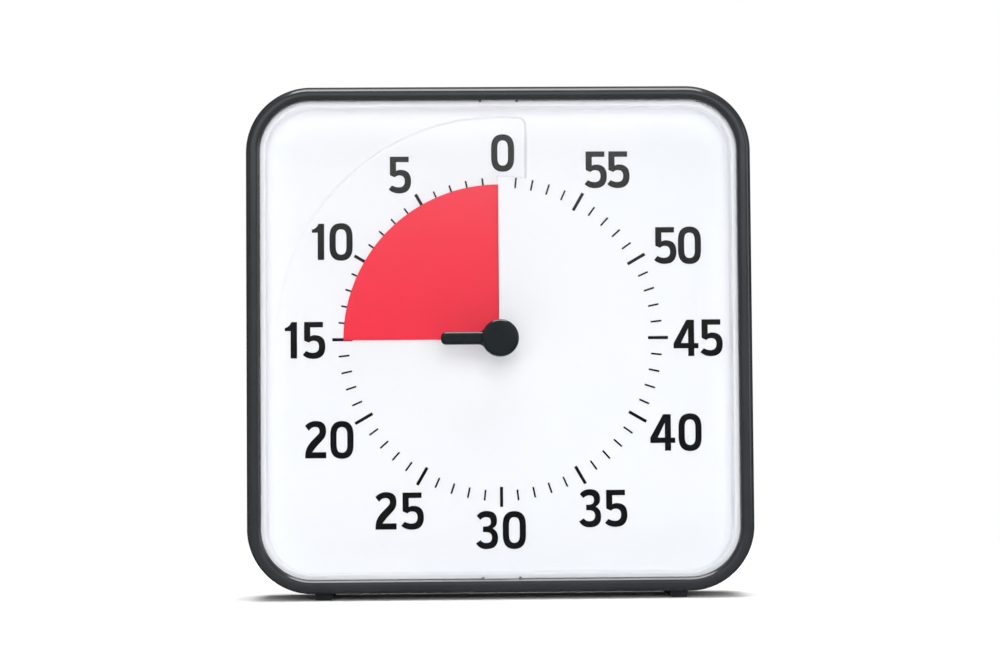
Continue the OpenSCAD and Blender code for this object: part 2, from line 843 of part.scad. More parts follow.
module movement_front_case() {
    inner_w = move_w - 2 * move_wall;
    inner_h = move_h - 2 * move_wall;
    plate_back = move_front + move_plate;
    color("#dfe2e5") upright() difference() {
        union() {
            difference() {
                slab(move_front, move_split) round_rect(move_w, move_h, 4);
                slab(plate_back, move_split + eps) round_rect(inner_w, inner_h, 4 - move_wall);
            }
            lugs(move_split - 2, move_split);
            for (x = [coil_span[0] - 2.75, coil_span[1] + 2.75])
                rod(1.4, plate_back - eps, move_split, [x, coil_y - 2.5]);
        }
        rod(bush_r, move_front - eps, plate_back + eps);
        arbor_holes(plate_back - pivot_hole_d, plate_back + eps);
        lug_holes(1.2);
        strip_slots(-move_h / 2 + move_wall / 2, 2.6 * move_wall);
    }
}

module movement_rear_case() {
    inner_w = move_w - 2 * move_wall;
    inner_h = move_h - 2 * move_wall;
    plate_front = move_back - move_plate;
    color("#dfe2e5") upright() difference() {
        union() {
            difference() {
                slab(move_split, move_back) round_rect(move_w, move_h, 4);
                slab(move_split - eps, plate_front) round_rect(inner_w, inner_h, 4 - move_wall);
            }
            lugs(move_split, move_split + 2);
            for (x = [-1, 1]) {
                rod(2, board_back, plate_front + eps, [x * post_x, board_top - 4]);
                rod(1.2, board_front - 0.5, board_back + eps, [x * post_x, board_top - 4]);
            }
            difference() {
                rod(buzzer_r + 1.2, plate_front - 1.2, plate_front + eps, buzzer_at);
                rod(buzzer_r + 0.1, plate_front - 1.3, plate_front - 0.4, buzzer_at);
                rod(buzzer_r - 1, plate_front - 1.3, plate_front + 1, buzzer_at);
            }
        }
        rod(1.25, plate_front - eps, plate_front + pivot_hole_d);
        arbor_holes(plate_front - eps, plate_front + pivot_hole_d);
        lug_holes(1.2);
        sound_holes(plate_front - eps, move_back + eps);
        translate([switch_at[0], switch_at[1], 0])
            slab(plate_front - eps, move_back + eps) square([5.8, 2.6], center = true);
    }
}

module movement_screws() {
    color("#b9bcc0") upright() corners(lug_at[0], lug_at[1])
        translate([0, 0, -move_split + 2]) pan_screw(0.95, 2, 1.5, 7);
}

module spindle_bush() {
    color("#cda64d") upright() difference() {
        union() {
            rod(bush_r, move_front, move_front + move_plate + eps);
            rod(4.4, move_front + move_plate, move_front + move_plate + 0.8);
        }
        rod(spindle_d / 2 + 0.05, move_front - eps, move_front + 4);
    }
}

module circuit_board() {
    color("#2e6b45") upright() difference() {
        translate([0, (board_top + board_bottom) / 2, 0]) slab(board_front, board_back)
            round_rect(board_w, board_top - board_bottom, 1);
        for (x = [-1, 1]) rod(1.25, board_front - eps, board_back + eps, [x * post_x, board_top - 4]);
    }
}

module timer_chip() {
    color("#202124") upright() translate([-8, -20, 0]) {
        slab(board_front - 1.5, board_front - 0.2) square([7, 5], center = true);
        for (x = [-2.4:1.2:2.4], y = [-1, 1]) translate([x, y * 3, 0])
            slab(board_front - 0.5, board_front) square([0.4, 1.2], center = true);
    }
}

module quartz_crystal() {
    color("#c6cacf") upright() translate([6, -12, 1 - board_front]) rotate([0, 90, 0]) {
        cylinder(r = 1, h = 6);
        for (y = [-0.35, 0.35]) translate([0, y, 6 - eps]) cylinder(r = 0.15, h = 2);
    }
}

module buzzer_disc() {
    back = move_back - move_plate - 0.4;
    color("#cfae5f") upright() {
        rod(buzzer_r, back - 0.3, back, buzzer_at);
        rod(buzzer_r - 3, back - 0.6, back - 0.3 + eps, buzzer_at);
    }
}

module buzzer_pins() {
    back = move_back - move_plate - 0.4;
    color("#d0b068") upright() {
        rod(0.6, board_back, back - 0.6, buzzer_at);
        rod(0.6, board_back, back - 0.3, buzzer_at + [rim_pin_x, 0]);
    }
}

module switch_body() {
    color("#4a4d52") upright() translate([switch_at[0], switch_at[1], 0]) difference() {
        slab(board_back, board_back + 3.6) square([8.6, 4.4], center = true);
        slab(board_back + 1.8, board_back + 4) square([5.2, 2], center = true);
    }
}

module switch_slider() {
    color("#d7dade") upright() translate([switch_at[0] - switch_travel / 2, switch_at[1], 0]) {
        slab(board_back + 2, case_d - 0.8) square([1.6, 1.6], center = true);
        slab(case_d - 0.9, case_d - 0.1) round_rect(3, 3.4, 0.4);
    }
}

// Battery

module battery_cell() {
    color("#8f9499") upright() translate([cell_tip_x - cell_nub - cell_l, cell_y, -cell_depth]) rotate([0, 90, 0]) {
        cylinder(r = cell_d / 2, h = cell_l);
        cylinder(r = 2.7, h = cell_l + cell_nub);
    }
}

// A flat strip from the bay to the circuit board, and the plate that meets the cell
module contact(side, plate_x) {
    strip_y = cell_y + cell_d / 2 + 0.4;
    plate_h = strip_y + 0.3 - (cell_y - 4);
    translate([side * plate_x, cell_y - 4, -cell_depth - 4.5]) cube([contact_t, plate_h, 9]);
    slab(board_front - contact_t, board_front) {
        translate([min(side * strip_x, side * (strip_x + strip_w)), strip_y])
            square([strip_w, board_bottom + 4 - strip_y]);
        translate([min(side * strip_x, side * plate_x + contact_t / 2), strip_y])
            square([plate_x - strip_x + contact_t, 0.6]);
    }
}

module positive_contact() {
    color("#c9ccd0") upright() contact(1, cell_tip_x);
}

module negative_contact() {
    color("#c9ccd0") upright() contact(-1, cell_tip_x + 0.8);
}

// A conical coil that presses on the cell's flat end
module contact_spring() {
    turns = 4;
    per_turn = 14;
    sides = 6;
    wire_r = 0.3;
    reach = (cell_tip_x + 0.8 - contact_t) - (cell_l + cell_nub - cell_tip_x) - 2 * wire_r;
    n = turns * per_turn;
    points = [
        for (i = [0:n], k = [0:sides - 1])
            let (a = 360 * i / per_turn, r = 4.6 - 2.2 * i / n + wire_r * cos(360 * k / sides))
            [r * cos(a), r * sin(a), reach * i / n + wire_r * sin(360 * k / sides)]
    ];
    faces = concat(
        [[for (k = [0:sides - 1]) k]],
        [[for (k = [0:sides - 1]) n * sides + sides - 1 - k]],
        [
            for (i = [0:n - 1], k = [0:sides - 1]) let (next = (k + 1) % sides) each [
                [i * sides + k, (i + 1) * sides + k, (i + 1) * sides + next],
                [i * sides + k, (i + 1) * sides + next, i * sides + next]
            ]
        ]
    );
    color("#b7babf") upright()
        translate([-cell_tip_x - 0.8 + contact_t + wire_r, cell_y, -cell_depth]) rotate([0, 90, 0])
            polyhedron(points, faces);
}

module battery_door() {
    color("#36383c") upright() translate([0, cell_y, 0]) difference() {
        union() {
            slab(case_d - door_t, case_d) round_rect(bay_w + 3.6, bay_h + 2.7, 2);
            for (x = [-1, 1]) translate([x * 29.35, 0, 0])
                slab(case_d - door_t - 2, case_d - door_t + eps) square([0.7, 10], center = true);
        }
        translate([bay_w / 2 - 5, 0, 0]) slab(case_d - 0.8, case_d + eps) round_rect(6, 10, 2);
        for (x = [-6:3:6]) translate([x, 0, 0]) slab(case_d - 0.4, case_d + eps) square([1, 12], center = true);
    }
}

front_bezel();
clear_lens();
dial_face();
minute_marks();
dial_numerals();
rear_cover();
case_screws();
rubber_feet();
battery_door();
battery_cell();
positive_contact();
negative_contact();
contact_spring();
movement_front_case();
movement_rear_case();
movement_screws();
spindle_bush();
circuit_board();
timer_chip();
quartz_crystal();
buzzer_disc();
buzzer_pins();
switch_body();
switch_slider();
stator_plate();
coil_bobbin();
coil_winding();
rotor_magnet();
rotor_pinion();
first_wheel();
second_wheel();
centre_wheel();
clutch_spring();
retaining_ring();
spindle_shaft();
setting_knob();
disc_hub();
red_disc();
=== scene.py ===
import json
import math
import bpy
import bmesh
import numpy as np
from mathutils import Matrix, Vector


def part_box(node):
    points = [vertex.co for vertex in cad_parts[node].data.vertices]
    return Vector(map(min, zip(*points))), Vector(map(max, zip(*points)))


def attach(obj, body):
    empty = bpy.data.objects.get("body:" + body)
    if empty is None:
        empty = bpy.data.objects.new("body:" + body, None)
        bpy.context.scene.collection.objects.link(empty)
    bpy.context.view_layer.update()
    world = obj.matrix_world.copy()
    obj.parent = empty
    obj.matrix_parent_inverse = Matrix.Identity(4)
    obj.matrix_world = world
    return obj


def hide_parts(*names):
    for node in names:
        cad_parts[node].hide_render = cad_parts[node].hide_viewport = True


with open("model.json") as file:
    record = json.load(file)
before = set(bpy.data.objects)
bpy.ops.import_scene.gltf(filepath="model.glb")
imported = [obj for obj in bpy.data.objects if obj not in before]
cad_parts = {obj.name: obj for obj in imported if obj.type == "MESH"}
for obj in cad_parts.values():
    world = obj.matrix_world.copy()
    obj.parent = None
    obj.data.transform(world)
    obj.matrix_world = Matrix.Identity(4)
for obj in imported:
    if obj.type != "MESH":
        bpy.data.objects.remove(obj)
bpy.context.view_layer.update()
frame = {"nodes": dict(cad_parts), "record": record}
nodes = frame["nodes"]
scene = bpy.context.scene
scene.view_settings.view_transform = "Standard"
print("frame loaded:", len(nodes), "nodes")

# The dial's own frame, in mm: x to the right, y up from the dial's axis, and the depth behind the rim
caseSize = {"half": 95.25, "cornerRadius": 24.5, "cornerSteps": 44, "offRun": 99.0}
bezelLow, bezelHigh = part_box("front_bezel")
rimPlace = bezelLow.y
axisPlace = (bezelLow.z + bezelHigh.z) / 2


# Points (x, y, depth) of the dial's frame as metres of the row frame
def toWorld(points):
    x, y, depth = np.moveaxis(np.asarray(points, float), -1, 0)
    return np.stack([x / 1000, rimPlace + depth / 1000, axisPlace + y / 1000], -1)


# Points (x, y, depth) of places x + iy, with one depth for all or a depth for each
def dialPoints(places, depth):
    return np.stack([places.real, places.imag, places.real * 0 + depth], -1)


# A grid of points[u, v] from rings: ring v is a pair of its places x + iy, one for each u, and its depth
def ringPoints(rings):
    return np.stack([dialPoints(places, depth) for places, depth in rings], 1)


# Angle of places x + iy in degrees, anticlockwise from 12 o'clock
def dialAngle(places):
    return np.degrees(np.angle(places / 1j)) % 360


# The case's outer wall anticlockwise from 12 o'clock as complex numbers x + iy, with the way in at each
# point: four straight runs, each with a quarter of a circle after it. along is the place on the top or
# bottom run, from its middle, and offRun everywhere else.
def casePath(runs):
    half, radius, offRun = [caseSize[key] for key in ("half", "cornerRadius", "offRun")]
    run = half - radius
    turn = np.exp(1j * np.radians(np.linspace(90, 180, caseSize["cornerSteps"] + 1)[1:-1]))
    base, inward, along = [], [], []
    for side in range(4):
        places = np.unique(np.concatenate([[-run, 0, run], runs[side]]))
        base += [(-places + 1j * half) * 1j**side, (complex(-run, run) + radius * turn) * 1j**side]
        inward += [np.full(len(places), -1j) * 1j**side, -turn * 1j**side]
        along += [places if side % 2 == 0 else np.full(len(places), offRun), np.full(len(turn), offRun)]
    base, inward, along = map(np.concatenate, (base, inward, along))
    start = int(np.argmin(abs(base - 1j * half)))
    return [np.roll(part, -start) for part in (base, inward, along)]


# The points and quads of a grid of points[u, v], shut in u, in v or in both
def gridPart(points, shutU=False, shutV=False):
    nu, nv = points.shape[:2]
    u = np.arange(nu if shutU else nu - 1)[:, None]
    v = np.arange(nv if shutV else nv - 1)[None, :]
    after, beside = (u + 1) % nu, (v + 1) % nv
    quads = np.stack([u * nv + v, after * nv + v, after * nv + beside, u * nv + beside], -1)
    return points.reshape(-1, 3), quads.reshape(-1, 4)


# The two flat ends of a grid that is shut in v only: quads from its first count columns to its last
def endParts(points, count):
    return [gridPart(np.stack([points[end, :count], points[end, ::-1][:count]], 1)) for end in (0, -1)]


# A rounded edge as (in, depth) pairs: a circle about its middle from one angle in degrees to another
def edgeArc(middle, radius, start, end, steps):
    turn = np.radians(np.linspace(start, end, steps + 1))
    return [(middle[0] + radius * math.cos(a), middle[1] + radius * math.sin(a)) for a in turn]


# One mesh from several parts, each with its own points and quads
def meshOf(name, parts):
    places = np.concatenate([points for points, quads in parts])
    offsets = np.cumsum([0] + [len(points) for points, quads in parts])
    quads = np.concatenate([quads + offset for (points, quads), offset in zip(parts, offsets)])
    mesh = bpy.data.meshes.new(name)
    mesh.from_pydata(toWorld(places).tolist(), [], quads.tolist())
    return mesh


cleaning = {"doubles": 2e-6, "slivers": 1e-7}  # in metres


# Merges a mesh's doubles and turns its faces outwards, gives it its finish, with edges sharp above an
# angle in degrees, hangs it on the body that it rides on, and hides the CAD part that it stands for
def makePiece(mesh, slot, body, replaced, sharp=35):
    work = bmesh.new()
    work.from_mesh(mesh)
    bmesh.ops.remove_doubles(work, verts=work.verts, dist=cleaning["doubles"])
    bmesh.ops.dissolve_degenerate(work, edges=work.edges, dist=cleaning["slivers"])
    bmesh.ops.recalc_face_normals(work, faces=work.faces)
    work.to_mesh(mesh)
    work.free()
    mesh.polygons.foreach_set("use_smooth", np.ones(len(mesh.polygons), bool))
    mesh.set_sharp_from_angle(angle=math.radians(sharp))
    mesh.materials.append(finishes[slot])
    piece = bpy.data.objects.new(mesh.name, mesh)
    scene.collection.objects.link(piece)
    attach(piece, body)
    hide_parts(replaced)
    print("made", mesh.name, len(mesh.vertices), "points")


# An sRGB hex colour as the linear colour that a shader takes
def hexColour(text):
    parts = [int(text[i:i + 2], 16) / 255 for i in (1, 3, 5)]
    return [p / 12.92 if p <= 0.04045 else ((p + 0.055) / 1.055) ** 2.4 for p in parts] + [1.0]


# Adds a node: sockets gives its inputs as values or as sockets to link from, settings are its own fields
def addNode(tree, kind, sockets=None, **settings):
    node = tree.nodes.new("ShaderNode" + kind)
    for field, value in settings.items():
        setattr(node, field, value)
    for socket, value in (sockets or {}).items():
        if isinstance(value, bpy.types.NodeSocket):
            tree.links.new(value, node.inputs[socket])
        else:
            node.inputs[socket].default_value = value
    return node


# An empty material, with its node tree and the Object coordinates that its patterns read
def startMaterial(name):
    material = bpy.data.materials.new(name)
    material.use_nodes = True
    tree = material.node_tree
    tree.nodes.clear()
    coordinates = addNode(tree, "TexCoord").outputs["Object"]
    return material, tree, coordinates


# Noise scale for a grain of so many mm, because Object coordinates are metres
def perMm(size):
    return 1000 / size


# What a moulded or cast finish uses where its own look says nothing else. Sizes and depths are in mm.
commonLook = {
    "driftSize": 25, "driftDetail": 3.0, "driftFrom": 0.35, "driftTo": 0.65,
    "grainDetail": 4.0, "grainFrom": 0.3, "grainTo": 0.7, "bumpStrength": 0.3,
    "metallic": 0.0, "ior": 1.5, "coat": 0.0, "coatRoughness": 0.1}


# A moulded or cast finish: a main colour that drifts to a second by a large noise, and a fine grain, a
# second noise, that moves the roughness by its swing both ways and lifts the surface by its depth
def finish(name, ownLook):
    look = {**commonLook, **ownLook}
    material, tree, place = startMaterial(name)
    drift = addNode(tree, "TexNoise", {
        "Vector": place, "Scale": perMm(look["driftSize"]), "Detail": look["driftDetail"]})
    grain = addNode(tree, "TexNoise", {
        "Vector": place, "Scale": perMm(look["grainSize"]), "Detail": look["grainDetail"]})
    colour = addNode(tree, "ValToRGB", {"Fac": drift.outputs["Fac"]})
    stops = colour.color_ramp.elements
    stops[0].position, stops[1].position = look["driftFrom"], look["driftTo"]
    stops[0].color, stops[1].color = hexColour(look["colour"]), hexColour(look["second"])
    rough = addNode(tree, "MapRange", {
        "Value": grain.outputs["Fac"], "From Min": look["grainFrom"], "From Max": look["grainTo"],
        "To Min": look["roughness"] - look["roughSwing"], "To Max": look["roughness"] + look["roughSwing"]})
    bump = addNode(tree, "Bump", {
        "Height": grain.outputs["Fac"], "Strength": look["bumpStrength"],
        "Distance": look["grainDepth"] / 1000})
    shader = addNode(tree, "BsdfPrincipled", {
        "Base Color": colour.outputs["Color"], "Roughness": rough.outputs["Result"],
        "Normal": bump.outputs["Normal"], "Metallic": look["metallic"], "IOR": look["ior"],
        "Coat Weight": look["coat"], "Coat Roughness": look["coatRoughness"]})
    addNode(tree, "OutputMaterial", {"Surface": shader.outputs["BSDF"]})
    return material


frameLook = {  # black ABS from a fine spark-eroded tool: an even satin with soft broad highlights
    "colour": "#2b2d30", "second": "#2e3033", "roughness": 0.15, "roughSwing": 0.03, "grainSize": 0.35,
    "grainDepth": 0.01, "bumpStrength": 0.2, "ior": 1.54}
backLook = {  # black ABS moulded against a coarser tool: a dry grain that hides scratches on the back
    "colour": "#2a2c2f", "second": "#2e3033", "roughness": 0.5, "roughSwing": 0.08, "grainSize": 0.6,
    "grainDepth": 0.04, "bumpStrength": 0.5, "ior": 1.54}
knobLook = {  # black ABS from a polished tool: gloss with the faint greasy dulling that fingers leave
    "colour": "#181c1e", "second": "#1b1f21", "roughness": 0.1, "roughSwing": 0.02, "grainSize": 1.5,
    "driftSize": 6, "grainDepth": 0.002, "bumpStrength": 0.05, "ior": 1.54}
dialLook = {  # white polystyrene, moulded satin: cool white, with a sheen too soft to mirror anything
    "colour": "#f5f7fb", "second": "#f3f6fa", "roughness": 0.55, "roughSwing": 0.04, "grainSize": 0.5,
    "driftSize": 60, "grainDepth": 0.01, "bumpStrength": 0.1, "ior": 1.5}
inkLook = {  # black screen ink: matt, laid a little unevenly over the satin white
    "colour": "#0d0e10", "second": "#121315", "roughness": 0.72, "roughSwing": 0.06, "grainSize": 0.25,
    "driftSize": 8, "grainDepth": 0.01, "ior": 1.33}
sheetLook = {  # dyed polypropylene sheet, calendered: saturated red with a fine even tooth
    "colour": "#f02a42", "second": "#f12c44", "roughness": 0.3, "roughSwing": 0.04, "grainSize": 0.4,
    "driftSize": 40, "grainDepth": 0.005, "bumpStrength": 0.1, "ior": 1.36}
whiteLook = {  # natural white ABS of the movement's case: milky, lightly scuffed
    "colour": "#e4e6e6", "second": "#dcdfe0", "roughness": 0.5, "roughSwing": 0.08, "grainSize": 0.8,
    "grainDepth": 0.02, "ior": 1.53}
rubberLook = {  # EPDM rubber, moulded: almost no gloss, with a dusty bloom
    "colour": "#1d1e20", "second": "#26272a", "roughness": 0.85, "roughSwing": 0.08, "grainSize": 0.3,
    "driftSize": 4, "grainDepth": 0.05, "bumpStrength": 0.6, "ior": 1.52}
chipLook = {  # epoxy moulding compound: dull black with a sandy skin
    "colour": "#232427", "second": "#2b2c30", "roughness": 0.7, "roughSwing": 0.08, "grainSize": 0.15,
    "driftSize": 2, "grainDepth": 0.02, "ior": 1.55}
gearLook = {  # natural acetal, moulded: waxy ivory
    "colour": "#efe8d6", "second": "#e8e0cb", "roughness": 0.4, "roughSwing": 0.06, "grainSize": 0.5,
    "driftSize": 3, "grainDepth": 0.01, "ior": 1.48}
magnetLook = {  # sintered ferrite: dark grey and grainy, with a low metallic glint
    "colour": "#4a4c50", "second": "#3c3e42", "roughness": 0.55, "roughSwing": 0.12, "grainSize": 0.2,
    "driftSize": 1.5, "grainDepth": 0.02, "metallic": 0.3}
steelLook = {  # zinc-plated steel: bright grey with a cloudy bluish bloom
    "colour": "#c3c7cb", "second": "#b2b7bd", "roughness": 0.3, "roughSwing": 0.1, "grainSize": 0.6,
    "driftSize": 2, "grainDepth": 0.01, "metallic": 1.0}
brassLook = {  # free-cutting brass, turned and tumbled: warm yellow with a cloudy, slightly darker tarnish
    "colour": "#d9b566", "second": "#c9a352", "roughness": 0.28, "roughSwing": 0.1, "grainSize": 0.5,
    "driftSize": 2, "grainDepth": 0.01, "metallic": 1.0}
boardLook = {  # green solder mask on a glass-epoxy board: glossy, lighter green where copper lies under it
    "colour": "#1f6b40", "second": "#2f8453", "roughness": 0.32, "roughSwing": 0.06, "grainSize": 1.2,
    "driftSize": 2.5, "grainDepth": 0.03, "coat": 0.3}

looks = {
    "frame_plastic": ("absSatinMoulded", frameLook), "back_plastic": ("absGrainedMoulded", backLook),
    "knob_plastic": ("absPolishedMoulded", knobLook), "dial_plastic": ("polystyreneSatin", dialLook),
    "print_ink": ("screenInkMatt", inkLook), "disc_sheet": ("polypropyleneCalendered", sheetLook),
    "white_plastic": ("absNaturalWhite", whiteLook), "foot_rubber": ("epdmMoulded", rubberLook),
    "chip_plastic": ("epoxyCompound", chipLook), "gear_plastic": ("acetalMoulded", gearLook),
    "magnet": ("ferriteSintered", magnetLook), "plated_steel": ("steelZincPlated", steelLook),
    "brass": ("brassTumbled", brassLook), "board": ("solderMask", boardLook)}
finishes = {slot: finish(name, look) for slot, (name, look) in looks.items()}

# Clear acrylic from a polished tool: seen straight through, with a mirror gloss that grows at low
# angles. The roughness swings by a share of itself over a wide haze.
lensLook = {
    "tint": "#f7f7f7", "ior": 1.49, "roughness": 0.035, "roughSwing": 0.2, "hazeSize": 12, "hazeDetail": 2.0}


# A tinted see-through plate under a gloss. The gloss's share is Schlick's curve,
# straight + (1 - straight) * facing^5, where straight is the share at a right angle to the plate and
# facing is 1 less the cosine of the angle of view. It is the same from inside the plate as from outside.
def clearAcrylic(look):
    material, tree, place = startMaterial("acrylicClear")
    haze = addNode(tree, "TexNoise", {
        "Vector": place, "Scale": perMm(look["hazeSize"]), "Detail": look["hazeDetail"]})
    rough = addNode(tree, "MapRange", {
        "Value": haze.outputs["Fac"], "To Min": look["roughness"] * (1 - look["roughSwing"]),
        "To Max": look["roughness"] * (1 + look["roughSwing"])})
    through = addNode(tree, "BsdfTransparent", {"Color": hexColour(look["tint"])})
    gloss = addNode(tree, "BsdfGlossy", {"Color": (1, 1, 1, 1), "Roughness": rough.outputs["Result"]})
    straight = ((look["ior"] - 1) / (look["ior"] + 1))**2
    facing = addNode(tree, "LayerWeight", {"Blend": 0.5})  # a blend that leaves Facing unbent
    grazing = addNode(tree, "Math", {0: facing.outputs["Facing"], 1: 5.0}, operation="POWER")
    share = addNode(tree, "MapRange", {
        "Value": grazing.outputs["Value"], "To Min": straight, "To Max": 1.0})
    both = addNode(tree, "MixShader", {
        0: share.outputs["Result"], 1: through.outputs["BSDF"], 2: gloss.outputs["BSDF"]})
    addNode(tree, "OutputMaterial", {"Surface": both.outputs["Shader"]})
    return material


finishes["clear_plastic"] = clearAcrylic(lensLook)

# Enamelled copper wire wound on the bobbin: fine rows, copper on each turn and painted shade between them
windingLook = {
    # dark is painted shade for the grooves between the turns, not a colour of the wire
    "colour": "#b5632c", "dark": "#5e2c12", "wirePitch": 0.25, "waver": 0.4, "wireDepth": 0.0625,
    "bumpStrength": 0.8, "roughness": 0.3, "metallic": 0.8}


# Rows of wire as a sine wave along x, the coil's axis: it mixes copper with painted shade and rounds each
# turn
def woundCopper(look):
    material, tree, place = startMaterial("copperEnamelled")
    waves = perMm(look["wirePitch"]) / (2 * math.pi)
    rows = addNode(tree, "TexWave", {"Vector": place, "Scale": waves, "Distortion": look["waver"]},
                   wave_type="BANDS", bands_direction="X", wave_profile="SIN")
    colour = addNode(tree, "ValToRGB", {"Fac": rows.outputs["Fac"]})
    stops = colour.color_ramp.elements
    # The dark stop is painted shade in the grooves between turns; the light stop is the copper's own colour
    stops[0].color, stops[1].color = hexColour(look["dark"]), hexColour(look["colour"])
    bump = addNode(tree, "Bump", {
        "Height": rows.outputs["Fac"], "Strength": look["bumpStrength"],
        "Distance": look["wireDepth"] / 1000})
    shader = addNode(tree, "BsdfPrincipled", {
        "Base Color": colour.outputs["Color"], "Roughness": look["roughness"], "Metallic": look["metallic"],
        "Normal": bump.outputs["Normal"]})
    addNode(tree, "OutputMaterial", {"Surface": shader.outputs["BSDF"]})
    return material


finishes["copper"] = woundCopper(windingLook)

# Shrink sleeve on the cell: a metallic black over most of its length, and copper at the positive end
jacketLook = {
    "dark": "#26282c", "light": "#c98d4f", "bandStart": 12.5, "bandSoft": 0.2, "wrapSize": 6,
    "wrapDetail": 2.0, "wrapDepth": 0.1, "bumpStrength": 0.2, "roughness": 0.28, "metallic": 0.4}


# Two colours along x, the cell's axis, with a soft step at bandStart, and a shallow noise for the wrap
def cellJacket(look):
    material, tree, place = startMaterial("shrinkSleeve")
    axes = addNode(tree, "SeparateXYZ", {"Vector": place})
    band = addNode(tree, "MapRange", {
        "Value": axes.outputs["X"], "From Min": (look["bandStart"] - look["bandSoft"]) / 1000,
        "From Max": (look["bandStart"] + look["bandSoft"]) / 1000})
    colour = addNode(tree, "ValToRGB", {"Fac": band.outputs["Result"]})
    stops = colour.color_ramp.elements
    stops[0].color, stops[1].color = hexColour(look["dark"]), hexColour(look["light"])
    wrap = addNode(tree, "TexNoise", {
        "Vector": place, "Scale": perMm(look["wrapSize"]), "Detail": look["wrapDetail"]})
    bump = addNode(tree, "Bump", {
        "Height": wrap.outputs["Fac"], "Strength": look["bumpStrength"],
        "Distance": look["wrapDepth"] / 1000})
    shader = addNode(tree, "BsdfPrincipled", {
        "Base Color": colour.outputs["Color"], "Roughness": look["roughness"], "Metallic": look["metallic"],
        "Normal": bump.outputs["Normal"]})
    addNode(tree, "OutputMaterial", {"Surface": shader.outputs["BSDF"]})
    return material


finishes["cell_jacket"] = cellJacket(jacketLook)

for part in frame["record"]["subparts"]:
    for place in nodes[part["node"]].material_slots:
        place.material = finishes[part["material_slot"]]
print("finishes:", len(finishes))

# Front bezel: its section carried round the case. At the middle of the top and of the bottom the lip
# reaches less far in, for the lens's tab, and a small round nib stands on it at each side of the tab.
bezel = {
    "depth": 20.0, "wall": 2.6, "outerRound": 2.6, "sideRound": 3.4, "rimSteps": 21,
    "lip": 5.4, "lipRound": 2.0, "lipSteps": 14, "lipDepth": 2.3, "lipBevel": 0.12,
    "seamRound": 0.35, "seamSteps": 3, "runEnd": 60.0, "runSteps": 24,
    "tabHalf": 6.4, "tabDepth": 0.15, "tabSlope": 0.05,
    "fineBefore": 0.2, "fineAfter": 1.5, "fineStep": 0.1,
    "nibPlace": 6.95, "nibRadius": 0.55, "nibReach": 4.9, "nibFrom": 0.6, "nibTo": 2.25}

# The section as (in, depth) pairs, from the seam up the outer wall, over the rim by a quarter of an
# ellipse, round the lip's edge and down the inner wall
seam, lip, bevel = bezel["seamRound"], bezel["lip"], bezel["lipBevel"]
section = edgeArc((seam, bezel["depth"] - seam), seam, 90, 180, bezel["seamSteps"])
section += [(bezel["outerRound"] * (1 - math.sin(a)), bezel["sideRound"] * (1 - math.cos(a)))
            for a in np.radians(np.linspace(90, 0, bezel["rimSteps"] + 1))]
lipMiddle = (lip - bezel["lipRound"], bezel["lipRound"])
section += edgeArc(lipMiddle, bezel["lipRound"], 270, 360, bezel["lipSteps"])
section += [(lip, bezel["lipDepth"] - bevel), (lip - bevel, bezel["lipDepth"])]
section += [(bezel["wall"], bezel["lipDepth"]), (bezel["wall"], bezel["depth"])]
sectionReach, sectionDepth = [column[None, :] for column in np.array(section).T]

even = np.linspace(-bezel["runEnd"], bezel["runEnd"], bezel["runSteps"] + 1)
tabHalf = bezel["tabHalf"]
fine = np.arange(tabHalf - bezel["fineBefore"], tabHalf + bezel["fineAfter"], bezel["fineStep"])
tabEdge = np.array([tabHalf - bezel["tabSlope"], tabHalf + bezel["tabSlope"]])
base, inward, along = casePath([np.concatenate([even, fine, -fine, tabEdge, -tabEdge])] * 4)
inTab = (abs(along) < tabHalf)[:, None]
reach = np.where(inTab, np.minimum(sectionReach, lip - bezel["tabDepth"]), sectionReach)
nib = np.sqrt(np.maximum(0, bezel["nibRadius"]**2 - (abs(along) - bezel["nibPlace"])**2))[:, None]
onLip = (reach > bezel["nibReach"]) & (sectionDepth > bezel["nibFrom"]) & (sectionDepth < bezel["nibTo"])
reach = reach + np.where(onLip & ~inTab, nib, 0)
points = dialPoints(base[:, None] + inward[:, None] * reach, sectionDepth)
mesh = meshOf("frontBezel", [gridPart(points, True, True)])
makePiece(mesh, "frame_plastic", "case", "front_bezel", sharp=50)

# Clear lens: a plate with a hole in its middle, a rounded front edge and a flange behind the bezel's lip
lens = {
    "front": 1.2, "step": 2.3, "back": 3.67, "holeRadius": 2.6, "holeEdge": 0.1, "reach": 5.48,
    "flangeReach": 2.8, "edgeRound": 0.3, "edgeSteps": 4, "runEnd": 68.0, "runSteps": 17,
    "tabHalf": 6.3, "tabDepth": 0.15, "tabSlope": 0.03,
    "frontShares": (0.25, 0.5, 0.75, 0.97), "backShares": (0.75, 0.5, 0.25, 0.0)}

even = np.linspace(-lens["runEnd"], lens["runEnd"], lens["runSteps"] + 1)
tabEdge = np.array([lens["tabHalf"] - lens["tabSlope"], lens["tabHalf"] + lens["tabSlope"]])
base, inward, along = casePath([np.concatenate([even, tabEdge, -tabEdge])] * 4)
around = base / abs(base)
hole = lens["holeRadius"] * around
edgeMiddle = (lens["reach"] + lens["edgeRound"], lens["front"] + lens["edgeRound"])
rims = edgeArc(edgeMiddle, lens["edgeRound"], 270, 180, lens["edgeSteps"])
rims += [(lens["reach"], lens["step"]), (lens["flangeReach"], lens["step"])]
rims += [(lens["flangeReach"], lens["back"])]
inner, outer = base + inward * rims[0][0], base + inward * rims[-1][0]

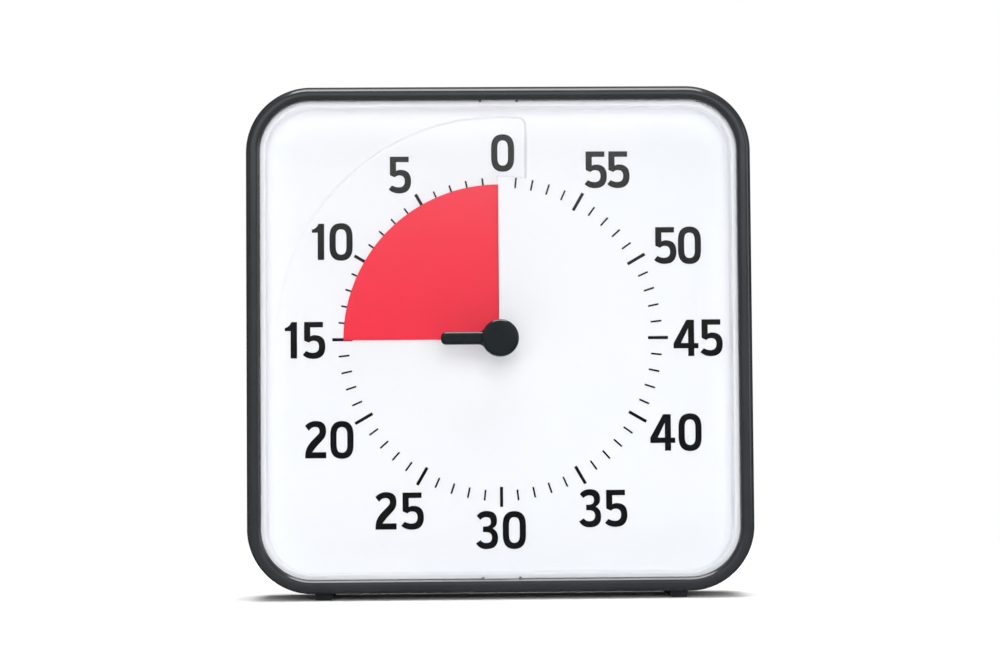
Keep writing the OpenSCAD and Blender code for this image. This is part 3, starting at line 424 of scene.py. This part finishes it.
# Rings from the hole out over the front, down the edge and the flange, and back to the hole behind: each
# share w puts a ring at hole * (1 - w) + edge * w
rings = [(hole, lens["front"] + lens["holeEdge"])]
rings += [((lens["holeRadius"] + lens["holeEdge"]) * around, lens["front"])]
rings += [(hole * (1 - w) + inner * w, lens["front"]) for w in lens["frontShares"]]
for reach, depth in rims:
    tab = np.where((abs(along) < lens["tabHalf"]) & (reach > lens["flangeReach"]), lens["tabDepth"], 0)
    rings.append((base + inward * (reach - tab), depth))
rings += [(hole * (1 - w) + outer * w, lens["back"]) for w in lens["backShares"]]
mesh = meshOf("clearLens", [gridPart(ringPoints(rings), True, True)])
makePiece(mesh, "clear_plastic", "case", "clear_lens")

# Dial, a white tray: flange, well wall and face, with the recess that the first minutes sink into
dial = {
    "face": 10.9, "flange": 3.7, "flangeReach": 2.85, "wellReach": 7.2, "wellRound": 0.45, "footRound": 0.7,
    "roundSteps": 5, "wall": 1.6, "thick": 1.8, "thin": 1.0,
    "slotRadius": 62.1, "slotWidth": 0.6, "slotTurn": 20, "recessRadius": 85.3, "recessDepth": 1.85,
    "recessRight": 10.8, "recessCorner": 3.0, "pad": 1.2, "padFrom": 346, "padTo": 96, "pitch": 7.0,
    "soft": 0.6, "softGrowth": 0.013, "softTurn": 90, "runEnd": 69.0, "runSteps": 69,
    "fineFrom": -17.5, "fineStep": 0.22, "rimRadius": 85.7,
    "faceRadii": (5.6, 9, 14, 22, 32, 42, 50, 56, 60), "slotFrom": 61.3, "slotRings": 8,
    "outerRadii": ((64, 78, 6), (79, 83.4, 14), (83.6, 85.5, 14))}  # from, to and how many


# Height of the recess's screw floor at a dial angle: it rises by the pitch in one turn, up to the face
def floorHeight(angle):
    return np.minimum(0, -dial["recessDepth"] + dial["pitch"] * angle / 360)


# Height of the face at places x + iy: the screw floor left of 12 o'clock and the level strip right of
# it, each times a soft step s * s * (3 - 2s), where s is the distance to the recess's outline over the
# edge's width
def faceHeight(place, left):
    radius = abs(place)
    angle = dialAngle(place)
    corner = dial["recessRight"] - dial["recessCorner"]
    centre = complex(corner, math.sqrt((dial["recessRadius"] - dial["recessCorner"])**2 - corner**2))
    beyond = (place.real > centre.real) & (np.angle(place - centre) > 0)
    straight = np.minimum(dial["recessRadius"] - radius, dial["recessRight"] - place.real)
    rounded = dial["recessCorner"] - abs(place - centre)
    strip = np.where(beyond & (place.imag > centre.imag), rounded, straight)
    strip = np.where(place.imag > 0, np.minimum(strip, radius - dial["slotRadius"]), -1)
    ramp = np.where(angle < 180, dial["recessRadius"] - radius, -1)
    width = dial["soft"] + dial["softGrowth"] * np.where(left, np.minimum(angle, dial["softTurn"]), 0)
    inside = np.clip(np.where(left, ramp, strip) / width, 0, 1)
    soft = inside * inside * (3 - 2 * inside)
    return np.where(left, floorHeight(angle), -dial["recessDepth"]) * soft


even = np.linspace(-dial["runEnd"], dial["runEnd"], dial["runSteps"] + 1)
fine = np.arange(dial["fineFrom"], 0, dial["fineStep"])
base, inward, along = casePath([np.concatenate([even, fine]), even, even, even])
base, inward = [np.append(part, part[:1]) for part in (base, inward)]  # open at the slot, at 12 o'clock
left = np.arange(len(base)) < len(base) // 2
turn = dialAngle(base)
turn[-1] = 360

# Rings of the face and of the back under it. Out to the slot's end the left side starts at a gap from 12
# o'clock, and the back stands deeper in the pad under the recess.
slotEnd = dial["slotRadius"] + dial["soft"]
innerRadii = np.concatenate([dial["faceRadii"], np.linspace(dial["slotFrom"], slotEnd, dial["slotRings"])])
outerRadii = np.concatenate([np.linspace(*span) for span in dial["outerRadii"]])
frontRings, backRings = [], []
for index, radius in enumerate(np.concatenate([innerRadii, outerRadii])):
    pastSlot = index >= len(innerRadii) - 1
    gap = 0.0 if pastSlot else math.degrees(math.asin(dial["slotWidth"] / radius))
    opened = np.where(turn < dial["slotTurn"], gap + turn * (1 - gap / dial["slotTurn"]), turn)
    place = radius * 1j * np.exp(1j * np.radians(opened))
    frontRings.append((place, dial["face"] - faceHeight(place, left)))
    inPad = (opened < dial["padTo"]) | ((opened > dial["padFrom"]) & pastSlot)
    thick = dial["thin"] if radius < dial["slotRadius"] else dial["thick"]
    backRings.append((place, dial["face"] + np.where(inPad, dial["recessDepth"] + dial["pad"], thick)))

# Out from the face to the well's foot, up its wall, over its edge, and round the flange to the back
rimCircle = dial["rimRadius"] * 1j * np.exp(1j * np.radians(turn))
well = base + inward * (dial["wellReach"] + dial["footRound"])
frontRings += [(rimCircle * (1 - w) + well * w, dial["face"]) for w in (0.0, 0.5, 1.0)]
footMiddle = (dial["wellReach"] + dial["footRound"], dial["face"] - dial["footRound"])
edgeMiddle = (dial["wellReach"] - dial["wellRound"], dial["flange"] + dial["wellRound"])
flangeBack, wallBack = dial["flange"] + dial["wall"], dial["wellReach"] - dial["wall"]
walls = edgeArc(footMiddle, dial["footRound"], 90, 180, dial["roundSteps"])[1:]
walls += edgeArc(edgeMiddle, dial["wellRound"], 0, -90, dial["roundSteps"])
walls += [(dial["flangeReach"], dial["flange"]), (dial["flangeReach"], flangeBack), (wallBack, flangeBack)]
walls += [(wallBack, dial["face"] + dial["thick"])]
frontRings += [(base + inward * reach, depth) for reach, depth in walls]
points = ringPoints(frontRings + [(rimCircle, dial["face"] + dial["thick"])] + backRings[::-1])
parts = [gridPart(points, False, True)] + endParts(points, len(innerRadii))

# Four screw bosses behind the corners: (radius, depth) pairs turned round each boss's axis
boss = {"at": 74.0, "radius": 4.0, "hole": 1.5, "front": 12.7, "back": 22.0, "holeEnd": 14.5, "sides": 32}
spin = np.exp(1j * np.linspace(0, 2 * math.pi, boss["sides"] + 1)[:-1])
bossSection = [
    (0, boss["front"]), (boss["radius"], boss["front"]), (boss["radius"], boss["back"]),
    (boss["hole"], boss["back"]), (boss["hole"], boss["holeEnd"]), (0, boss["holeEnd"])]
for corner in (-1 - 1j, -1 + 1j, 1 - 1j, 1 + 1j):
    rings = [(corner * boss["at"] + radius * spin, depth) for radius, depth in bossSection]
    parts.append(gridPart(ringPoints(rings), True))
makePiece(meshOf("dialTray", parts), "dial_plastic", "case", "dial_face", sharp=55)

# Print on the dial: ink that lies on the face, and on the recess's floor where there is one. A mark is
# given by its inner radius, its outer radius and its width.
ink = {"thick": 0.1, "sunk": 0.03, "shiftX": 0.35, "shiftY": 0.27,
       "minor": (57.6, 61.7, 0.68), "major": (56.2, 63.8, 1.18), "curveSteps": 7}


# Depth of the face under places x + iy
def faceDepth(place):
    return dial["face"] - faceHeight(place, place.real <= 0)


# A closed outline from steps: x, y is a straight line to there, and controlX, controlY, x, y is a
# quadratic curve, (1 - t)^2 * here + 2t(1 - t) * bend + t^2 * there
def outline(start, *steps):
    t = np.linspace(0, 1, ink["curveSteps"] + 1)[1:]
    points = [complex(*start)]
    for step in steps:
        here, bend, there = points[-1], complex(*step[:2]), complex(*step[-2:])
        bent = (1 - t)**2 * here + 2 * t * (1 - t) * bend + t**2 * there
        points += list(bent) if len(step) == 4 else [there]
    return np.array(points)


# An upright oval with straight sides: its half width, its half height and the height where a curve starts
def oval(width, height, start):
    return outline(
        (0, height), (width, height, width, start), (width, -start), (width, -height, 0, -height),
        (-width, -height, -width, -start), (-width, start), (-width, height, 0, height))[:-1]


# Digits of a bold condensed face as outlines in mm about their middle
digits = {
    0: [oval(4.4, 7.18, 1.9), oval(2.02, 4.85, 1.9)],
    1: [outline((-0.17, -6.85), (2.28, -6.85), (2.28, 6.98), (0.1, 6.98), (-0.5, 5.1, -2.38, 4.76),
                (-2.38, 3.56), (-0.17, 3.56))],
    2: [outline((-4.03, 5.4), (-2.4, 7.24, 0, 7.24), (3.95, 7.24, 3.95, 3.5), (3.95, 1.45, 2.8, 0.23),
                (0.39, -2.36), (-1.34, -4.6), (3.95, -4.6), (3.95, -6.92), (-4.03, -6.92), (-4.03, -6.1),
                (-4.0, -3.9, -3.07, -2.36), (-2.3, -1.1, -1.34, -0.12), (0.74, 1.96),
                (1.43, 2.6, 1.43, 3.4), (1.43, 4.96, -0.25, 4.96), (-1.6, 4.96, -2.6, 3.5))],
    3: [outline((-3.9, 5.47), (-2.5, 7.3, 0, 7.3), (3.87, 7.3, 3.87, 3.6), (3.87, 1.5, 2.15, 0.7),
                (4.22, -0.3, 4.22, -3.0), (4.22, -7.15, -0.2, -7.15), (-2.9, -7.15, -4.18, -4.9),
                (-2.41, -3.69), (-1.6, -4.8, -0.3, -4.8), (1.9, -4.8, 1.9, -2.75), (1.9, -0.68, -0.5, -0.68),
                (-1.48, -0.68), (-1.48, 1.42), (-0.6, 1.42), (1.52, 1.42, 1.52, 3.2),
                (1.52, 4.95, -0.2, 4.95), (-1.6, 4.95, -2.41, 3.91))],
    4: [outline((0.17, 6.9), (3.11, 6.9), (3.11, -2.0), (4.73, -2.0), (4.73, -4.0), (3.11, -4.0),
                (3.11, -6.95), (0.79, -6.95), (0.79, -4.0), (-4.77, -4.0), (-4.77, -2.0)),
        outline((0.79, 3.6), (0.79, -1.95), (-1.9, -1.95))],
    5: [outline((-3.75, 7.0), (3.44, 7.0), (3.44, 4.92), (-1.4, 4.92), (-1.4, 1.55),
                (-0.6, 1.98, 0.25, 1.98), (4.3, 1.98, 4.3, -2.4), (4.3, -7.07, -0.3, -7.07),
                (-2.7, -7.07, -4.27, -5.5), (-2.95, -3.96), (-1.8, -4.72, -0.4, -4.72),
                (1.88, -4.72, 1.88, -2.4), (1.88, -0.16, -0.25, -0.16), (-1.2, -0.16, -1.92, -0.92),
                (-3.75, -0.1))]}
numeralPlaces = [  # middle of each numeral from 0 to 55, and the distance between its two digits
    (1.8, 71.3, 0), (-37.5, 63.0, 0), (-64.3, 37.5, 8.7), (-74.7, 0.1, 8.7), (-64.9, -37.7, 9.9),
    (-38.4, -64.8, 10.0), (-0.1, -72.3, 10.4), (38.8, -64.4, 9.9), (67.0, -35.8, 10.4), (75.9, 0.1, 9.7),
    (68.1, 35.4, 9.3), (41.5, 64.5, 8.7)]

curve = bpy.data.curves.new("dialNumerals", "CURVE")  # drawn flat in mm, filled, and then laid on the face
curve.dimensions, curve.fill_mode, curve.extrude = "2D", "BOTH", 1.0
for index, (x, y, pitch) in enumerate(numeralPlaces):
    for place, figure in enumerate(str(5 * index)[::-1]):
        for loop in digits[int(figure)]:
            loop = loop + complex(x + pitch * (0.5 - place), y)
            spline = curve.splines.new("POLY")
            spline.points.add(len(loop) - 1)
            flat = np.stack([loop.real, loop.imag, loop.real * 0, loop.real * 0 + 1], -1)
            spline.points.foreach_set("co", flat.ravel())
            spline.use_cyclic_u = True
drawing = bpy.data.objects.new("numeralDrawing", curve)
mesh = bpy.data.meshes.new_from_object(drawing)
bpy.data.objects.remove(drawing)
mesh.name = "dialNumerals"
flat = np.empty(len(mesh.vertices) * 3, np.float32)
mesh.vertices.foreach_get("co", flat)
flat = flat.reshape(-1, 3)
place = flat[:, 0] + 1j * flat[:, 1]
depth = faceDepth(place) + np.where(flat[:, 2] > 0, -ink["thick"], ink["sunk"])
mesh.vertices.foreach_set("co", toWorld(dialPoints(place, depth)).astype(np.float32).ravel())
makePiece(mesh, "print_ink", "case", "dial_numerals")

# A block for every minute from 1 to 59: its corners along and across the mark, turned to its place
minutes = np.arange(1, 60)
inner, outer, width = [np.where(minutes % 5 == 0, *pair) for pair in zip(ink["major"], ink["minor"])]
radial = np.stack([inner, outer, outer, inner] * 2, -1)
across = np.stack([-width, -width, width, width] * 2, -1) / 2
turned = (across + 1j * radial) * np.exp(1j * np.radians(6 * minutes))[:, None]
place = turned + complex(ink["shiftX"], ink["shiftY"])
depth = faceDepth(place) + np.repeat([-ink["thick"], ink["sunk"]], 4)
block = np.array([(0, 1, 2, 3), (7, 6, 5, 4), (0, 4, 5, 1), (1, 5, 6, 2), (2, 6, 7, 3), (3, 7, 4, 0)])
quads = (block[None] + 8 * np.arange(len(minutes))[:, None, None]).reshape(-1, 4)
marks = (dialPoints(place, depth).reshape(-1, 3), quads)
makePiece(meshOf("minuteMarks", [marks]), "print_ink", "case", "minute_marks")

# Red sheet, one turn of a screw surface with a thin rounded edge: its middle stands over the face by
# start + pitch * angle / 360. edge gives each ring's distance in from the outer edge and its share of half
# the thickness.
sheet = {
    "inner": 5.0, "outer": 59.2, "thick": 0.3, "start": -1.45, "from": -270.0, "to": 90.0, "steps": 360,
    "radii": (8, 14, 22, 32, 42, 50, 55, 58), "edge": ((0.3, 1.0), (0.08, 0.8), (0.0, 0.35))}
halfThick = sheet["thick"] / 2
upper = [(radius, halfThick) for radius in (sheet["inner"], *sheet["radii"])]
upper += [(sheet["outer"] - cut, halfThick * share) for cut, share in sheet["edge"]]
lower = [(radius, -lift) for radius, lift in upper[::-1]]
radius, lift = [column[None, :] for column in np.array(upper + lower).T]
angles = np.linspace(sheet["from"], sheet["to"], sheet["steps"] + 1)[:, None]
height = sheet["start"] + dial["pitch"] * angles / 360 + lift
points = dialPoints(radius * 1j * np.exp(1j * np.radians(angles)), dial["face"] - height)
parts = [gridPart(points, False, True)] + endParts(points, len(upper))
makePiece(meshOf("redSheet", parts), "disc_sheet", "disc", "red_disc")

# The floor, in metres
stageLook = {
    "left": -3.0, "right": 3.0, "front": -0.42, "back": 5.0, "floorColour": "#fdfdfd",
    "whiteFrom": 0.22, "whiteTo": 0.45, "mirrored": "#202020"}


# Matt white paint. To the eye it turns to plain white between whiteFrom and whiteTo from the object, and
# in a reflection it is the dark mirrored colour.
def floorFinish(look):
    material, tree, place = startMaterial("paintedFloor")
    flat = addNode(tree, "BsdfDiffuse", {"Color": hexColour(look["floorColour"])})
    far = addNode(tree, "Emission", {"Color": (1, 1, 1, 1), "Strength": 1.0})
    length = addNode(tree, "VectorMath", {0: place}, operation="LENGTH")
    fade = addNode(tree, "MapRange", {
        "Value": length.outputs["Value"], "From Min": look["whiteFrom"], "From Max": look["whiteTo"]})
    seen = addNode(tree, "MixShader", {
        0: fade.outputs["Result"], 1: flat.outputs["BSDF"], 2: far.outputs["Emission"]})
    mirrored = addNode(tree, "BsdfDiffuse", {"Color": hexColour(look["mirrored"])})
    path = addNode(tree, "LightPath")
    toEye = addNode(tree, "MixShader", {
        0: path.outputs["Is Camera Ray"], 1: flat.outputs["BSDF"], 2: seen.outputs["Shader"]})
    both = addNode(tree, "MixShader", {
        0: path.outputs["Is Glossy Ray"], 1: toEye.outputs["Shader"], 2: mirrored.outputs["BSDF"]})
    addNode(tree, "OutputMaterial", {"Surface": both.outputs["Shader"]})
    return material


mesh = bpy.data.meshes.new("floor")
mesh.from_pydata([(stageLook[x], stageLook[y], 0) for x, y in (
    ("left", "front"), ("right", "front"), ("right", "back"), ("left", "back"))], [], [(0, 1, 2, 3)])
floor = bpy.data.objects.new("floor", mesh)
mesh.materials.append(floorFinish(stageLook))
scene.collection.objects.link(floor)
print("floor laid")

# The room: an even soft light on matt surfaces, and plain white to the eye. A reflection shows bands,
# its light at a few heights of its direction from level (0) to straight up (1), which fade to sideLight
# at both sides. Straight behind the object it shows white.
room = {
    "even": 0.12, "tint": "#fcfdff",
    "bands": ((0.03, 0.0), (0.08, 0.3), (0.11, 0.65), (0.13, 1.0),
              (0.2, 1.0), (0.32, 0.12), (0.8, 0.12), (0.9, 0.5)),
    "sideFrom": 0.2, "sideTo": 0.65, "sideLight": 0.1, "behindFrom": 0.95, "behindTo": 1.0}
world = bpy.data.worlds.new("studio")
scene.world = world
world.use_nodes = True
tree = world.node_tree
tree.nodes.clear()
axes = addNode(tree, "SeparateXYZ", {"Vector": addNode(tree, "TexCoord").outputs["Generated"]})
bands = addNode(tree, "ValToRGB", {"Fac": axes.outputs["Z"]})
stops = bands.color_ramp.elements
while len(stops) < len(room["bands"]):
    stops.new(0.5)
for stop, (height, glow) in zip(stops, room["bands"]):
    stop.position, stop.color = height, (glow, glow, glow, 1)
aside = addNode(tree, "Math", {0: axes.outputs["X"]}, operation="ABSOLUTE")
fade = addNode(tree, "MapRange", {
    "Value": aside.outputs["Value"], "From Min": room["sideFrom"], "From Max": room["sideTo"],
    "To Min": 1.0, "To Max": room["sideLight"]})
front = addNode(tree, "Math", {0: bands.outputs["Color"], 1: fade.outputs["Result"]}, operation="MULTIPLY")
behind = addNode(tree, "MapRange", {
    "Value": axes.outputs["Y"], "From Min": room["behindFrom"], "From Max": room["behindTo"]})
level = addNode(tree, "Math", {0: front.outputs["Value"], 1: behind.outputs["Result"]}, operation="MAXIMUM")
mirrored = addNode(tree, "Background", {"Color": (1, 1, 1, 1), "Strength": level.outputs["Value"]})
even = addNode(tree, "Background", {"Color": hexColour(room["tint"]), "Strength": room["even"]})
white = addNode(tree, "Background", {"Color": (1, 1, 1, 1), "Strength": 1.0})
path = addNode(tree, "LightPath")
light = addNode(tree, "MixShader", {
    0: path.outputs["Is Glossy Ray"], 1: even.outputs["Background"], 2: mirrored.outputs["Background"]})
both = addNode(tree, "MixShader", {
    0: path.outputs["Is Camera Ray"], 1: light.outputs["Shader"], 2: white.outputs["Background"]})
addNode(tree, "OutputWorld", {"Surface": both.outputs["Shader"]})

lampAim = (0.0, 0.0, 0.1)
lamps = [  # name, place, width, height, watts, whether it lights matt surfaces, whether gloss shows it
    ("fillSoftbox", (0.05, -2.0, 0.42), 2.2, 1.1, 32.0, True, False),
    ("frontSoftbox", (0.1, -1.6, 1.05), 0.9, 0.5, 7.0, True, False),
    ("topSoftbox", (0.0, -0.03, 1.15), 0.8, 1.0, 16.0, True, False),
    ("topCard", (0.0, -0.3, 1.12), 0.8, 0.68, 13.0, False, True),
    ("backSoftbox", (0.2, 1.0, 1.6), 1.2, 0.8, 14.0, True, False),
    ("rightCard", (1.4, -0.5, 0.35), 0.5, 0.9, 2.2, True, True)]
for name, place, width, height, watts, onMatt, inGloss in lamps:
    light = bpy.data.lights.new(name, "AREA")
    light.shape, light.size, light.size_y = "RECTANGLE", width, height
    light.energy = watts
    lamp = bpy.data.objects.new(name, light)
    lamp.location = place
    lamp.visible_diffuse, lamp.visible_glossy = onMatt, inGloss
    lamp.rotation_euler = (Vector(lampAim) - Vector(place)).to_track_quat("-Z", "Y").to_euler()
    scene.collection.objects.link(lamp)
print("lamps:", len(lamps))

# The camera, in metres and degrees: yaw turns it right, pitch up, and roll leans it about its line of sight
camera = {
    "place": (-0.02, -0.8644, 0.065), "yaw": 1.35, "pitch": 2.32, "roll": -0.44,
    "focal": 81.4, "sensor": 36.0, "near": 0.05, "far": 50.0}
yaw, pitch, roll = [math.radians(camera[key]) for key in ("yaw", "pitch", "roll")]
ahead = Vector((math.sin(yaw) * math.cos(pitch), math.cos(yaw) * math.cos(pitch), math.sin(pitch)))
level = Vector((math.cos(yaw), -math.sin(yaw), 0))
above = level.cross(ahead)
right = math.cos(roll) * level + math.sin(roll) * above
up = right.cross(ahead)
lensData = bpy.data.cameras.new("camera")
lensData.lens, lensData.sensor_width, lensData.sensor_fit = camera["focal"], camera["sensor"], "HORIZONTAL"
lensData.clip_start, lensData.clip_end = camera["near"], camera["far"]
cameraObject = bpy.data.objects.new("camera", lensData)
turned = Matrix((right, up, -ahead)).transposed().to_4x4()
cameraObject.matrix_world = Matrix.Translation(camera["place"]) @ turned
scene.collection.objects.link(cameraObject)
scene.camera = cameraObject
print("camera set at", camera["place"])
